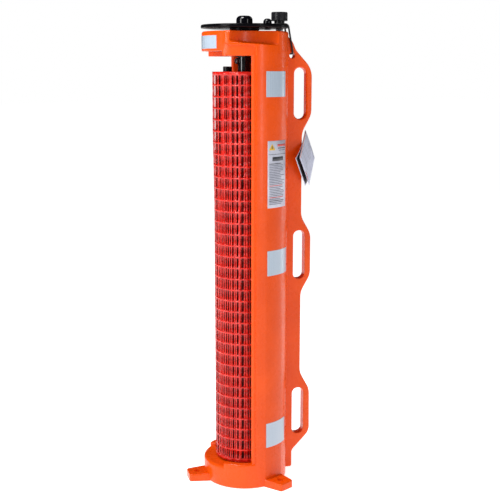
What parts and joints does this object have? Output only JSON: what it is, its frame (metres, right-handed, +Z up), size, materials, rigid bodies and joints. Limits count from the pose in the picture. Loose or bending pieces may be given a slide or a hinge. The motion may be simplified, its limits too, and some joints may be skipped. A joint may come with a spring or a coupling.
{
  "type": "traffic barrier",
  "caption": "Portable roll-up mesh barrier: a mesh fence wound on an upright crank shaft in an open half-round housing with a carrying fin and ground lugs.",
  "frame": {"origin": "on the floor under the axis of the crank shaft", "axes": "+Z up along the crank shaft, +Y towards the carrying fin, -Y the side that the fence is pulled out of"},
  "size_m": [0.29, 0.3664, 1.219],
  "materials": {
    "shell": "satin",
    "black_plastic": "gloss",
    "bush_plastic": "satin",
    "knob_plastic": "satin",
    "fence_mesh": "satin",
    "pipe_steel": "gloss",
    "bolt_steel": "satin",
    "reflective_tape": "satin",
    "label_film": "satin",
    "tag_card": "satin",
    "cord_black": "matte"
  },
  "bodies": {
    "housing": {"housing": "shell", "top_bush": "bush_plastic", "foot_bearing": "bush_plastic", "label_panel": "label_film", "lock_cord": "cord_black", "lock_cord_crimp": "bolt_steel", "hang_tag": "tag_card", "tag_tie": "black_plastic", "tape_nose": "reflective_tape", "tape_right_top": "reflective_tape", "tape_left_top": "reflective_tape", "tape_right_middle": "reflective_tape", "tape_left_middle": "reflective_tape", "tape_right_bottom": "reflective_tape", "tape_left_bottom": "reflective_tape"},
    "spool": {"fence_seat": "bush_plastic", "pole_cap_foot": "bush_plastic", "pole_cap_top": "bush_plastic", "hub_plate": "black_plastic", "crank_disc": "black_plastic", "shaft_cap": "black_plastic", "domed_nut": "black_plastic", "shaft": "pipe_steel", "leading_pole": "pipe_steel", "stop_bolt": "bolt_steel", "cross_bolt": "bolt_steel", "cross_bolt_nut": "bolt_steel", "knob_bolt": "bolt_steel", "knob_washer": "bolt_steel", "knob_nut": "bolt_steel", "hub_screw_1": "bolt_steel", "hub_screw_2": "bolt_steel", "hub_screw_3": "bolt_steel", "hub_screw_4": "bolt_steel", "fence_screw_1": "bolt_steel", "fence_screw_2": "bolt_steel", "fence_screw_3": "bolt_steel", "fence_screw_4": "bolt_steel", "fence_screw_5": "bolt_steel", "fence_roll": "fence_mesh"},
    "knob": {"crank_knob": "knob_plastic", "knob_cover": "black_plastic"}
  },
  "joints": [
    {"name": "crank", "type": "hinge", "parent": "housing", "child": "spool", "pos_m": [0, 0, 0], "axis": [0, 0, 1], "continuous": true, "deforming": ["lock_cord"]},
    {"name": "knob_spin", "type": "hinge", "parent": "spool", "child": "knob", "pos_m": [0, 0.0912, 1.2], "axis": [0, 0, 1], "continuous": true}
  ]
}
